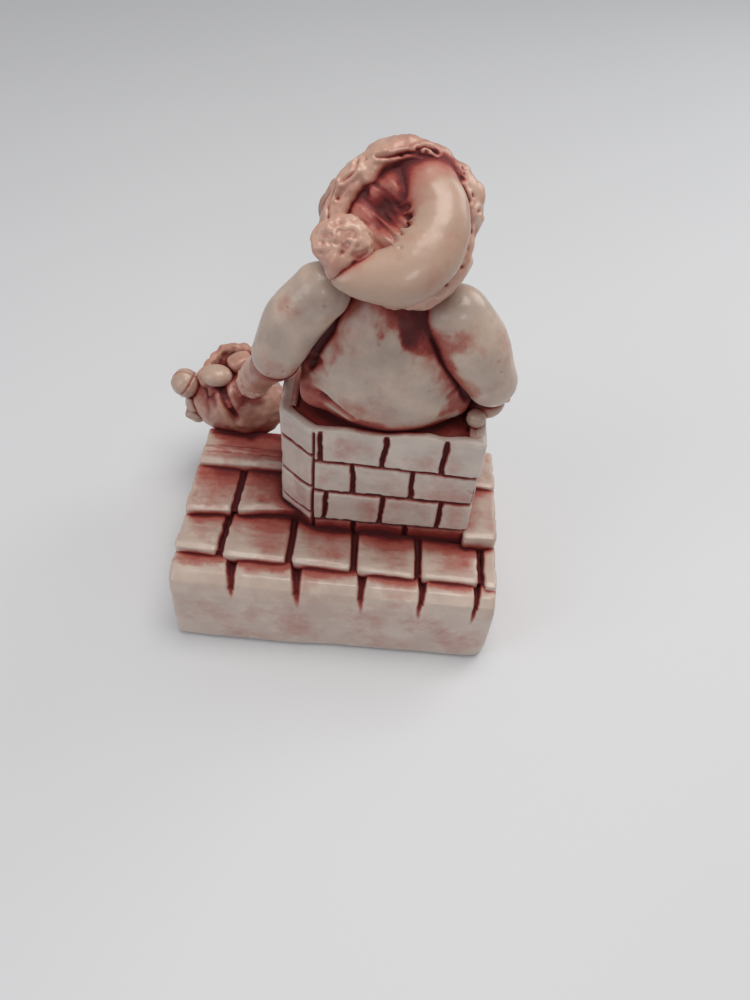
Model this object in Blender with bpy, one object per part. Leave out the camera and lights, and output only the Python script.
"""Resin figurine: a stout figure in a stocking cap stands in a brick chimney on a tiled roof, beside a sack of toys.

Metres, +Z up. The origin is the middle of the underside. The figure faces -Y, its left hand and the sack are at +X,
and the eaves of the back slope are at +Y. A figurine like this is cast in one lump, so nothing on it moves. Each lump
of the sculptor's master is one solid here, and GAP keeps each solid clear of the lumps that it was pressed against.
"""

import math

import bmesh
import bpy
from mathutils import Euler, Matrix, Vector

GAP = 0.0003  # clearance between solids that touch

# Roof
BASE_WIDTH = 0.0700  # along X
BASE_DEPTH = 0.0620  # along Y
BACK_SLOPE_RUN = 0.0460  # from the eaves to the ridge
BLOCK_TOP = 0.0186  # top of the solid block, under the tiles
TOE_HEIGHT = 0.0015  # step at the foot of the front slope
TILE_THICK = 0.0042  # a tile at its exposed lower edge
TILE_THIN = 0.0028  # the same tile where the next one laps it
EAVE_THICK = 0.0028
RIDGE_THICK = 0.0027
FRONT_TILE_THICK = 0.0030
FRONT_TILE_THIN = 0.0018
FRONT_ROWS = 3
NOSE_ROUND = 0.0011  # rounding of a tile's lower edge
GROOVE_DEPTH = 0.0014
GROOVE_HALF_WIDTH = 0.0008
EAVE_RUN = 0.0076  # eaves to the second row's lower edge
THIRD_ROW_START = 0.0190  # from the eaves
FOURTH_ROW_START = 0.0328
RIDGE_BOARD_SPLIT = 0.0364
RIDGE_STRIP_START = 0.0392
EAVE_JOINTS = (0.19, 0.39, 0.59, 0.77, 0.94)  # shares of the width, counted from the sack's side
SECOND_ROW_JOINTS = (0.14, 0.36, 0.56, 0.76, 0.95)
THIRD_ROW_JOINTS = (0.155,)
FRONT_JOINTS = ((0.18, 0.38, 0.59, 0.79), (0.10, 0.29, 0.50, 0.70, 0.90), (0.20, 0.41, 0.60, 0.80))

# Chimney
CHIMNEY_WIDTH = 0.0418
CHIMNEY_DEPTH = 0.0280
CHIMNEY_TOP = 0.0520
CHIMNEY_SHIFT = -0.0072  # its middle, from the roof's middle
CHIMNEY_BACK = 0.01775  # from the eaves to the chimney's back wall
CORNER_WIDTH = 0.0074  # broad splayed corner towards the sack
CORNER_DEPTH = 0.0058
WALL = 0.0026
MOUTH_DEPTH = 0.0085
COURSE_SHARE = 0.275  # one course of bricks and its joint, as a share of the stack's height
BRICK = 0.0123  # one brick and its joint
JOINT_WIDTH = 0.0008
JOINT_DEPTH = 0.0006

# Figure, measured from the middle of the chimney's mouth at the rim
TORSO_CENTRE = (-0.0005, -0.0003, 0.0110)
TORSO_RADII = (0.0175, 0.0140, 0.0185)
HEAD_CENTRE = (0.0000, 0.0012, 0.0376)
HEAD_RADII = (0.0100, 0.0104, 0.0112)
CAP_CENTRE = (-0.0003, 0.0047, 0.0398)
CAP_LEAN = math.radians(-50)  # the brim's plane from level
BRIM_RADIUS = 0.0107
BRIM_ROLL = 0.0029
CROWN_RADII = (0.0101, 0.0101, 0.0088)
POM_RADII = (0.0053, 0.0030, 0.0043)
ELBOW_LEFT = Vector((0.0207, 0.0087, 0.0140))
ELBOW_RIGHT = Vector((-0.0197, 0.0092, 0.0126))

# Sack, measured from the ridge at the roof's side edge
SACK_CENTRE = (-0.0072, -0.0062, 0.0040)
SACK_RADII = (0.0114, 0.0078, 0.0092)

HALF_WIDTH = BASE_WIDTH / 2
EAVES = BASE_DEPTH / 2
FRONT = EAVES - BASE_DEPTH
RIDGE = EAVES - BACK_SLOPE_RUN
TILE_BED = BLOCK_TOP + GAP
RIDGE_TOP = TILE_BED + RIDGE_THICK
COURSE = (CHIMNEY_TOP - TILE_BED) * COURSE_SHARE
CHIMNEY_BACK_Y = EAVES - CHIMNEY_BACK
CHIMNEY_FRONT_Y = CHIMNEY_BACK_Y - CHIMNEY_DEPTH
SEAT = Vector((CHIMNEY_SHIFT, (CHIMNEY_BACK_Y + CHIMNEY_FRONT_Y) / 2, CHIMNEY_TOP))
SACK_SEAT = Vector((HALF_WIDTH, RIDGE, RIDGE_TOP))
RIM_MIDDLE_RIGHT = -CHIMNEY_WIDTH / 2 + WALL / 2  # X of the right wall's middle, from the seat

RESIN = (0.62, 0.52, 0.44)
PALE_RESIN = (0.72, 0.64, 0.54)
STAINED_RESIN = (0.45, 0.24, 0.18)
RESIN_ROUGHNESS = 0.42


def clear_scene():
    """Removes every object of the open scene."""
    for obj in list(bpy.data.objects):
        bpy.data.objects.remove(obj, do_unlink=True)


def resin(name, colour):
    """One Principled material of cast resin."""
    material = bpy.data.materials.new(name)
    material.use_nodes = True
    shader = material.node_tree.nodes["Principled BSDF"]
    shader.inputs["Base Color"].default_value = (*colour, 1.0)
    shader.inputs["Roughness"].default_value = RESIN_ROUGHNESS
    shader.inputs["Metallic"].default_value = 0.0
    material.diffuse_color = (*colour, 1.0)
    return material


def finish(name, bm, colour=RESIN):
    """Turns a bmesh into a named object with its own material, or into a hidden cutter if the colour is None."""
    bmesh.ops.recalc_face_normals(bm, faces=bm.faces)
    mesh = bpy.data.meshes.new(name)
    bm.to_mesh(mesh)
    bm.free()
    mesh.shade_smooth()
    mesh.set_sharp_from_angle(angle=math.radians(40))
    obj = bpy.data.objects.new(name, mesh)
    bpy.context.scene.collection.objects.link(obj)
    if colour is None:
        obj.hide_render = True
        obj.display_type = "WIRE"
    else:
        mesh.materials.append(resin(name + "_resin", colour))
    return obj


def carve(obj, *cutters):
    """Subtracts each hidden cutter from the object."""
    for cutter in cutters:
        modifier = obj.modifiers.new("clear_of_" + cutter.name, "BOOLEAN")
        modifier.operation = "DIFFERENCE"
        modifier.solver = "EXACT"
        modifier.object = cutter


def loft(bm, rings):
    """Joins closed rings of equal length with quads, and caps both ends."""
    made = [[bm.verts.new(point) for point in ring] for ring in rings]
    count = len(made[0])
    for lower, upper in zip(made[:-1], made[1:]):
        for i in range(count):
            j = (i + 1) % count
            bm.faces.new((lower[i], lower[j], upper[j], upper[i]))
    bm.faces.new(made[0][::-1])
    bm.faces.new(made[-1])


def along_x(x, outline):
    """A ring of (y, z) points placed at x."""
    return [Vector((x, y, z)) for y, z in outline]


# Roof


def roof_block():
    """Solid block: back wall, level top, front slope and a low toe."""
    slope_top = slope_foot_at(BLOCK_TOP)
    slope_toe = slope_foot_at(TOE_HEIGHT)
    outline = ((EAVES, 0.0), (EAVES, BLOCK_TOP), (slope_top, BLOCK_TOP), (slope_toe, TOE_HEIGHT),
               (FRONT, TOE_HEIGHT), (FRONT, 0.0))
    bm = bmesh.new()
    loft(bm, [along_x(x, outline) for x in (-HALF_WIDTH, HALF_WIDTH)])
    return finish("roof_block", bm)


def slope_frame():
    """Start of the front slope's surface at the ridge, its direction down the slope and its outward normal."""
    start = Vector((RIDGE, RIDGE_TOP))
    foot = Vector((FRONT, TOE_HEIGHT + GAP + FRONT_TILE_THICK))
    down = (foot - start).normalized()
    return start, down, Vector((down.y, -down.x)), (foot - start).length


def slope_foot_at(height):
    """Y of the block's bare front slope at a height: the tiles' surface set back by a tile."""
    start, down, out, _ = slope_frame()
    bed = start - out * FRONT_TILE_THICK
    return bed.x + down.x * (height - bed.y) / down.y


def tile_row(name, left, right, outline, sink, joints=()):
    """A row of tiles between two X values. The outline's points flagged 1 sink at each joint, which makes a V groove."""
    stations = [(left, 0.0)]
    for share in joints:
        x = HALF_WIDTH - share * BASE_WIDTH
        if right + GROOVE_HALF_WIDTH < x < left - GROOVE_HALF_WIDTH:
            stations += [(x + GROOVE_HALF_WIDTH, 0.0), (x, 1.0), (x - GROOVE_HALF_WIDTH, 0.0)]
    stations.append((right, 0.0))
    rings = []
    for x, share in stations:
        rings.append([Vector((x, y + sink[0] * share * on, z + sink[1] * share * on)) for y, z, on in outline])
    bm = bmesh.new()
    loft(bm, rings)
    return finish(name, bm)


def back_outline(low, high, thick, thin):
    """Section of a row on the back slope, from its lower edge to the next row, both counted from the eaves."""
    y_low = EAVES - low
    y_high = EAVES - high + GAP
    top = TILE_BED + thick
    return ((y_low, TILE_BED, 0), (y_low, top - NOSE_ROUND, 1), (y_low - NOSE_ROUND, top, 1),
            (y_high, TILE_BED + thin, 1), (y_high, TILE_BED, 0))


def ridge_outline(low, thick):
    """Section of the last strip before the ridge, whose underside reaches down the front slope."""
    y_low = EAVES - low
    bed_end = slope_foot_at(BLOCK_TOP)
    _, down, out, _ = slope_frame()
    under = Vector((bed_end, BLOCK_TOP)) + out * GAP
    reach = (RIDGE - under.x) / down.x
    return ((y_low, TILE_BED, 0), (y_low, TILE_BED + thick, 1), (RIDGE, RIDGE_TOP, 1),
            (RIDGE, under.y + down.y * reach, 0), (under.x, TILE_BED, 0))


def front_outline(row):
    """Section of one row on the front slope, counted from the ridge. The first row starts with an upright face."""
    start, down, out, length = slope_frame()
    step = length / FRONT_ROWS
    high = row * step
    low = (row + 1) * step
    bed = start - out * (FRONT_TILE_THICK - GAP)
    nose_under = bed + down * (low - GAP)
    nose = nose_under + out * (FRONT_TILE_THICK - GAP)
    nose_back = nose - down * NOSE_ROUND
    nose_drop = nose - out * NOSE_ROUND
    top = bed + down * high + out * FRONT_TILE_THIN
    top_under = bed + down * high
    if row == 0:
        y = RIDGE - GAP
        top = Vector((y, top.y + down.y * (y - top.x) / down.x))
        top_under = Vector((y, top_under.y + down.y * (y - top_under.x) / down.x))
    return ((*nose_under, 0), (*nose_drop, 1), (*nose_back, 1), (*top, int(row > 0)), (*top_under, 0))


def back_tiles(stack_cutter):
    """The rows on the back slope. Above the second row the chimney parts each row into a left and a right stretch."""
    down = (0.0, -GROOVE_DEPTH)
    middle = CHIMNEY_SHIFT
    eave = back_outline(0.0, EAVE_RUN, EAVE_THICK, TILE_THIN * 0.9)
    tile_row("tiles_eaves", HALF_WIDTH, -HALF_WIDTH, eave, down, EAVE_JOINTS)
    second = tile_row("tiles_second_row", HALF_WIDTH, -HALF_WIDTH,
                      back_outline(EAVE_RUN, THIRD_ROW_START, TILE_THICK, TILE_THIN), down, SECOND_ROW_JOINTS)
    third = back_outline(THIRD_ROW_START, FOURTH_ROW_START, TILE_THICK, TILE_THIN)
    third_left = tile_row("tiles_third_row_left", HALF_WIDTH, middle, third, down, THIRD_ROW_JOINTS)
    third_right = tile_row("tiles_third_row_right", middle, -HALF_WIDTH, third, down)
    fourth_right = tile_row("tiles_fourth_row_right", middle, -HALF_WIDTH,
                            ridge_outline(FOURTH_ROW_START, TILE_THICK), down)
    lower_board = tile_row("ridge_board_lower", HALF_WIDTH, middle,
                           back_outline(FOURTH_ROW_START, RIDGE_BOARD_SPLIT, TILE_THICK, TILE_THICK), down)
    upper_board = tile_row("ridge_board_upper", HALF_WIDTH, middle,
                           back_outline(RIDGE_BOARD_SPLIT, RIDGE_STRIP_START, TILE_THIN * 1.3, TILE_THIN * 1.2), down)
    strip = tile_row("ridge_strip", HALF_WIDTH, middle, ridge_outline(RIDGE_STRIP_START, RIDGE_THICK), down)
    for row in (second, third_left, third_right, fourth_right, lower_board, upper_board, strip):
        carve(row, stack_cutter)


def front_tiles(stack_cutter):
    """Rows of tiles on the front slope."""
    _, _, out, _ = slope_frame()
    sink = -out * GROOVE_DEPTH
    names = ("tiles_front_top", "tiles_front_middle", "tiles_front_bottom")
    for row in range(FRONT_ROWS):
        obj = tile_row(names[row], HALF_WIDTH, -HALF_WIDTH, front_outline(row), sink, FRONT_JOINTS[row])
        if row == 0:
            carve(obj, stack_cutter)


# Chimney


def chimney_plan(inset=0.0):
    """Outline of the stack in plan with one splayed corner, moved inwards by inset or outwards by a negative one."""
    left = CHIMNEY_SHIFT + CHIMNEY_WIDTH / 2 - inset
    right = CHIMNEY_SHIFT - CHIMNEY_WIDTH / 2 + inset
    back = CHIMNEY_BACK_Y - inset
    front = CHIMNEY_FRONT_Y + inset
    splay = math.hypot(CORNER_WIDTH, CORNER_DEPTH)
    slide = inset * (CORNER_WIDTH + CORNER_DEPTH - splay)
    return ((right, front), (left, front), (left, back - CORNER_DEPTH + slide / CORNER_WIDTH),
            (left - CORNER_WIDTH + slide / CORNER_DEPTH, back), (right, back))


def plan_ring(plan, z):
    return [Vector((x, y, z)) for x, y in plan]


def stack_solid(name, colour, grow=0.0):
    """The stack with its mouth. A grown one is larger all round and has a smaller mouth."""
    rim = CHIMNEY_TOP + grow
    foot = TILE_BED - grow
    outer = chimney_plan(-grow)
    inner = chimney_plan(WALL + grow)
    bm = bmesh.new()
    loft(bm, [plan_ring(outer, foot), plan_ring(outer, rim), plan_ring(inner, rim),
              plan_ring(inner, CHIMNEY_TOP - MOUTH_DEPTH + grow)])
    return finish(name, bm, colour)


def joint_cutter():
    """Bed joints round the stack and upright joints between bricks, staggered from course to course, as one cutter."""
    bm = bmesh.new()
    outer = chimney_plan(-JOINT_DEPTH)
    inner = chimney_plan(JOINT_DEPTH)
    courses = int(1 / COURSE_SHARE)
    for course in range(1, courses + 1):
        z = CHIMNEY_TOP - course * COURSE
        half = JOINT_WIDTH / 2
        rings = [plan_ring(outer, z - half), plan_ring(outer, z + half), plan_ring(inner, z + half),
                 plan_ring(inner, z - half)]
        add_tube_ring(bm, rings)
    left = CHIMNEY_SHIFT + CHIMNEY_WIDTH / 2
    for course in range(courses):
        top = CHIMNEY_TOP - course * COURSE - JOINT_WIDTH / 2 - GAP
        bottom = top - COURSE + JOINT_WIDTH + 2 * GAP
        lift = GAP if course else -JOINT_DEPTH
        offset = BRICK * (0.75 if course % 2 == 0 else 1.25)
        x = left - offset
        while x > left - CHIMNEY_WIDTH + BRICK * 0.4:
            for y in (CHIMNEY_BACK_Y, CHIMNEY_FRONT_Y):
                add_box(bm, (x, y, (top - lift + bottom) / 2), (JOINT_WIDTH, 2 * JOINT_DEPTH, top - lift - bottom))
            x -= BRICK
    return finish("brick_joints", bm, None)


def add_tube_ring(bm, rings):
    """A closed belt: the rings join round in a loop."""
    made = [[bm.verts.new(point) for point in ring] for ring in rings]
    count = len(made[0])
    for k in range(len(made)):
        near = made[k]
        far = made[(k + 1) % len(made)]
        for i in range(count):
            j = (i + 1) % count
            bm.faces.new((near[i], near[j], far[j], far[i]))


def add_box(bm, centre, size):
    matrix = Matrix.Translation(centre) @ Matrix.Diagonal((*size, 1.0))
    bmesh.ops.create_cube(bm, size=1.0, matrix=matrix)


# Rounded lumps


def ellipsoid(name, centre, radii, colour=RESIN, tilt=(0.0, 0.0, 0.0), grow=0.0, segments=20, rings=12):
    """A ball drawn out to three radii and turned by tilt."""
    bm = bmesh.new()
    scale = Matrix.Diagonal((*[radius + grow for radius in radii], 1.0))
    matrix = Matrix.Translation(centre) @ Euler(tilt).to_matrix().to_4x4() @ scale
    bmesh.ops.create_uvsphere(bm, u_segments=segments, v_segments=rings, radius=1.0, matrix=matrix)
    return finish(name, bm, colour)


def smooth_point(points, t):
    """Point of a Catmull-Rom curve through the points, at t from 0 to 1."""
    span = len(points) - 1
    k = min(int(t * span), span - 1)
    u = t * span - k
    p1 = points[k]
    p2 = points[k + 1]
    p0 = points[k - 1] if k > 0 else p1 * 2 - p2
    p3 = points[k + 2] if k + 2 <= span else p2 * 2 - p1
    return 0.5 * (2 * p1 + (p2 - p0) * u + (2 * p0 - 5 * p1 + 4 * p2 - p3) * u * u
                  + (3 * p1 - p0 - 3 * p2 + p3) * u ** 3)


def limb(name, points, radii, colour=RESIN, grow=0.0, sides=14, steps=9, flat=1.0):
    """A fleshy roll along a smooth curve, with its own radius at each point and round ends."""
    points = [Vector(point) for point in points]
    widths = [Vector((radius + grow, 0.0, 0.0)) for radius in radii]
    rings = []
    side = None
    for step in range(steps + 1):
        t = step / steps
        centre = smooth_point(points, t)
        ahead = smooth_point(points, min(t + 0.02, 1.0)) - smooth_point(points, max(t - 0.02, 0.0))
        ahead.normalize()
        if side is None:
            side = Vector((0.0, 0.0, 1.0)) if abs(ahead.x) > 0.7 else Vector((1.0, 0.0, 0.0))
        side = (side - ahead * side.dot(ahead)).normalized()
        rings.append((centre, ahead, side, smooth_point(widths, t).x))
    bm = bmesh.new()
    made = []
    for end, sign in ((rings[0], -1), (rings[-1], 1)):
        centre, ahead, side, radius = end
        caps = [(centre + ahead * sign * radius * math.sin(a), ahead, side, radius * math.cos(a))
                for a in (math.radians(35), math.radians(65))]
        made.append(caps)
    full = made[0][::-1] + rings + made[1]
    loops = []
    for centre, ahead, side, radius in full:
        up = ahead.cross(side)
        loops.append([centre + (side * math.cos(a) + up * math.sin(a) * flat) * radius
                      for a in (2 * math.pi * i / sides for i in range(sides))])
    loft(bm, loops)
    return finish(name, bm, colour)


def ring_roll(name, centre, radius, roll, lean, colour=RESIN, grow=0.0, around=28, sides=10):
    """A roll bent into a ring, leaning about X."""
    turn = Matrix.Translation(centre) @ Euler((lean, 0.0, 0.0)).to_matrix().to_4x4()
    bm = bmesh.new()
    rings = []
    for i in range(around):
        a = 2 * math.pi * i / around
        out = Vector((math.cos(a), math.sin(a), 0.0))
        ring = [turn @ (out * (radius + (roll + grow) * math.cos(b)) + Vector((0, 0, (roll + grow) * math.sin(b))))
                for b in (2 * math.pi * j / sides for j in range(sides))]
        rings.append(ring)
    add_tube_ring(bm, rings)
    return finish(name, bm, colour)


# Figure


def from_seat(*points):
    return [SEAT + Vector(point) for point in points]


def from_sack(*points):
    return [SACK_SEAT + Vector(point) for point in points]


def torso(name, colour, grow=0.0):
    return ellipsoid(name, from_seat(TORSO_CENTRE)[0], TORSO_RADII, colour, grow=grow, segments=24, rings=16)


def left_sleeve(name, colour, grow=0.0):
    points = from_seat((0.0129, 0.0067, 0.0270), (0.0174, 0.0072, 0.0210), ELBOW_LEFT)
    return limb(name, points, (0.0053, 0.0057, 0.0048), colour, grow)


def right_sleeve(name, colour, grow=0.0):
    points = from_seat((-0.0117, 0.0062, 0.0240), (-0.0154, 0.0072, 0.0187), ELBOW_RIGHT)
    return limb(name, points, (0.0060, 0.0064, 0.0047), colour, grow)


def left_forearm(name, colour, grow=0.0):
    points = from_seat(ELBOW_LEFT + Vector((0.0, -0.0010, -0.0020)))
    points += from_sack((-0.0180, 0.0130, 0.0330), (-0.0138, 0.0052, 0.0226))
    return limb(name, points, (0.0042, 0.0037, 0.0033), colour, grow, sides=12, steps=6)


def right_forearm(name, colour, grow=0.0):
    wrist = Vector((RIM_MIDDLE_RIGHT - 0.0010, 0.0052, 0.0072))
    points = from_seat(ELBOW_RIGHT + Vector((0.0, -0.0014, -0.0022)), wrist)
    return limb(name, points, (0.0040, 0.0032), colour, grow, sides=12, steps=3)


def left_cuff(name, colour, grow=0.0):
    centre = from_sack((-0.0128, 0.0034, 0.0200))[0]
    return ellipsoid(name, centre, (0.0040, 0.0040, 0.0017), colour, (math.radians(-38), math.radians(25), 0.0),
                     grow, segments=14, rings=8)


def right_cuff(name, colour, grow=0.0):
    centre = from_seat((RIM_MIDDLE_RIGHT - 0.0010, 0.0048, 0.0055))[0]
    return ellipsoid(name, centre, (0.0040, 0.0038, 0.0015), colour, (math.radians(20), 0.0, 0.0), grow,
                     segments=14, rings=8)


def left_mitten(name, colour, grow=0.0):
    centre = from_sack((-0.0118, 0.0006, 0.0168))[0]
    return ellipsoid(name, centre, (0.0034, 0.0040, 0.0032), colour, (math.radians(-30), 0.0, 0.0), grow,
                     segments=14, rings=10)


def right_mitten(name, colour, grow=0.0):
    centre = from_seat((RIM_MIDDLE_RIGHT - 0.0008, 0.0036, 0.0028))[0]
    return ellipsoid(name, centre, (0.0036, 0.0042, 0.0026), colour, grow=grow, segments=14, rings=10)


def right_thumb(name, colour, grow=0.0):
    centre = from_seat((RIM_MIDDLE_RIGHT + 0.0011, 0.0083, 0.0021))[0]
    return ellipsoid(name, centre, (0.0017, 0.0017, 0.0017), colour, grow=grow, segments=12, rings=8)


def head(name, colour, grow=0.0):
    return ellipsoid(name, from_seat(HEAD_CENTRE)[0], HEAD_RADII, colour, grow=grow)


def cap_brim(name, colour, grow=0.0):
    return ring_roll(name, from_seat(CAP_CENTRE)[0], BRIM_RADIUS, BRIM_ROLL, CAP_LEAN, colour, grow)


def cap_crown(name, colour, grow=0.0):
    return ellipsoid(name, from_seat(CAP_CENTRE)[0], CROWN_RADII, colour, (CAP_LEAN, 0.0, 0.0), grow)


def cap_tail(name, colour, grow=0.0):
    points = from_seat((-0.0050, 0.0108, 0.0465), (-0.0045, 0.0135, 0.0425), (-0.0022, 0.0155, 0.0392),
                       (0.0029, 0.0158, 0.0371), (0.0072, 0.0152, 0.0376))
    return limb(name, points, (0.0056, 0.0074, 0.0074, 0.0060, 0.0042), colour, grow, sides=16, steps=12)


def pom_pom(name, colour, grow=0.0):
    return ellipsoid(name, from_seat((0.0083, 0.0185, 0.0435))[0], POM_RADII, colour, (math.radians(35), 0.0, 0.0),
                     grow, segments=16, rings=10)


def hair(side):
    """Builder of the curl of hair that shows at one temple, in front of the brim."""
    def build(name, colour, grow=0.0):
        points = from_seat((side * 0.0102, -0.0022, 0.0410), (side * 0.0114, -0.0030, 0.0376),
                           (side * 0.0106, -0.0044, 0.0336))
        return limb(name, points, (0.0015, 0.0019, 0.0016), colour, grow, sides=10, steps=5)
    return build


def nose(name, colour, grow=0.0):
    return ellipsoid(name, from_seat((0.0, -0.0097, 0.0382))[0], (0.0018, 0.0019, 0.0018), colour, grow=grow,
                     segments=12, rings=8)


def moustache(name, colour, grow=0.0):
    points = from_seat((-0.0068, -0.0088, 0.0332), (-0.0032, -0.0106, 0.0350), (0.0, -0.0112, 0.0350),
                       (0.0032, -0.0106, 0.0350), (0.0068, -0.0088, 0.0332))
    return limb(name, points, (0.0009, 0.0020, 0.0017, 0.0020, 0.0009), colour, grow, sides=10, steps=12)


def beard(name, colour, grow=0.0):
    points = from_seat((0.0, -0.0070, 0.0290), (0.0, -0.0115, 0.0225), (0.0, -0.0146, 0.0145))
    return limb(name, points, (0.0074, 0.0076, 0.0034), colour, grow, sides=16, steps=8, flat=0.72)


# Sack


def sack_body(name, colour, grow=0.0):
    return ellipsoid(name, from_sack(SACK_CENTRE)[0], SACK_RADII, colour, grow=grow, segments=22, rings=14)


def sack_mouth(name, colour, grow=0.0):
    centre = from_sack((-0.0060, -0.0072, 0.0108))[0]
    return ring_roll(name, centre, 0.0068, 0.0016, math.radians(-18), colour, grow, around=20, sides=8)


def toy(offset, radii, tilt=(0.0, 0.0, 0.0)):
    """Builder of one rounded toy placed from the sack's seat."""
    def build(name, colour, grow=0.0):
        return ellipsoid(name, from_sack(offset)[0], radii, colour, tilt, grow, segments=14, rings=10)
    return build


# Each lump: its builder, its colour, and the lumps that it was pressed against
LUMPS = {
    "coat_body": (torso, RESIN, ("chimney_stack",)),
    "left_sleeve": (left_sleeve, PALE_RESIN, ("coat_body",)),
    "right_sleeve": (right_sleeve, PALE_RESIN, ("coat_body",)),
    "head": (head, RESIN, ("coat_body",)),
    "cap_crown": (cap_crown, RESIN, ("coat_body", "head")),
    "cap_brim": (cap_brim, RESIN, ("coat_body", "head", "cap_crown")),
    "cap_tail": (cap_tail, PALE_RESIN, ("coat_body", "head", "cap_crown", "cap_brim")),
    "pom_pom": (pom_pom, RESIN, ("cap_tail", "cap_brim", "cap_crown")),
    "beard": (beard, PALE_RESIN, ("coat_body", "head")),
    "moustache": (moustache, PALE_RESIN, ("head", "beard")),
    "nose": (nose, RESIN, ("head", "moustache")),
    "hair_left": (hair(1), STAINED_RESIN, ("head", "cap_brim", "beard")),
    "hair_right": (hair(-1), STAINED_RESIN, ("head", "cap_brim", "beard")),
    "sack_body": (sack_body, STAINED_RESIN, ("front_slope", "chimney_stack")),
    "sack_mouth": (sack_mouth, STAINED_RESIN, ("sack_body",)),
    "toy_egg": (toy((-0.0023, -0.0042, 0.0128), (0.0034, 0.0026, 0.0023)), PALE_RESIN,
                ("sack_body", "sack_mouth")),
    "toy_ball": (toy((0.0060, -0.0060, 0.0082), (0.0031, 0.0031, 0.0031)), PALE_RESIN, ("sack_body", "sack_mouth")),
    "toy_bear": (toy((0.0052, -0.0062, 0.0006), (0.0026, 0.0030, 0.0040)), RESIN, ("sack_body", "toy_ball")),
    "toy_block": (toy((-0.0072, -0.0082, 0.0135), (0.0030, 0.0028, 0.0030)), RESIN,
                  ("sack_body", "sack_mouth", "toy_egg")),
    "left_mitten": (left_mitten, RESIN, ("sack_body", "sack_mouth", "toy_block", "chimney_stack")),
    "left_cuff": (left_cuff, PALE_RESIN, ("left_mitten", "sack_body", "sack_mouth", "chimney_stack")),
    "left_forearm": (left_forearm, STAINED_RESIN, ("left_sleeve", "coat_body", "left_cuff", "left_mitten",
                                                   "sack_body", "sack_mouth", "chimney_stack")),
    "right_mitten": (right_mitten, RESIN, ("chimney_stack", "coat_body")),
    "right_thumb": (right_thumb, PALE_RESIN, ("chimney_stack", "coat_body", "right_mitten")),
    "right_cuff": (right_cuff, PALE_RESIN, ("right_mitten", "right_thumb", "coat_body")),
    "right_forearm": (right_forearm, RESIN, ("right_sleeve", "coat_body", "right_cuff", "right_mitten",
                                             "right_thumb")),
}


def front_slope_cutter():
    """Everything under the front slope's tiles, grown by the gap, which the sack rests on."""
    start, down, out, length = slope_frame()
    reach = down * (length + FRONT_TILE_THICK)
    top = start + out * GAP - down * FRONT_TILE_THICK
    foot = start + out * GAP + reach
    side = HALF_WIDTH + GAP
    outline = (tuple(top), tuple(foot), (foot.x, -GAP), (EAVES, -GAP), (EAVES, top.y))
    bm = bmesh.new()
    loft(bm, [along_x(x, outline) for x in (-side, side)])
    return finish("front_slope", bm, None)


def lumps(cutters):
    """Every rounded lump, each carved clear of the lumps that it was pressed against."""
    for name, (build, colour, neighbours) in LUMPS.items():
        obj = build(name, colour)
        for neighbour in neighbours:
            if neighbour not in cutters:
                cutters[neighbour] = LUMPS[neighbour][0](neighbour + "_clearance", None, GAP)
            carve(obj, cutters[neighbour])


def main():
    clear_scene()
    stack = stack_solid("chimney_stack", RESIN)
    carve(stack, joint_cutter())
    stack_cutter = stack_solid("chimney_clearance", None, GAP)
    roof_block()
    back_tiles(stack_cutter)
    front_tiles(stack_cutter)
    lumps({"chimney_stack": stack_cutter, "front_slope": front_slope_cutter()})


main()
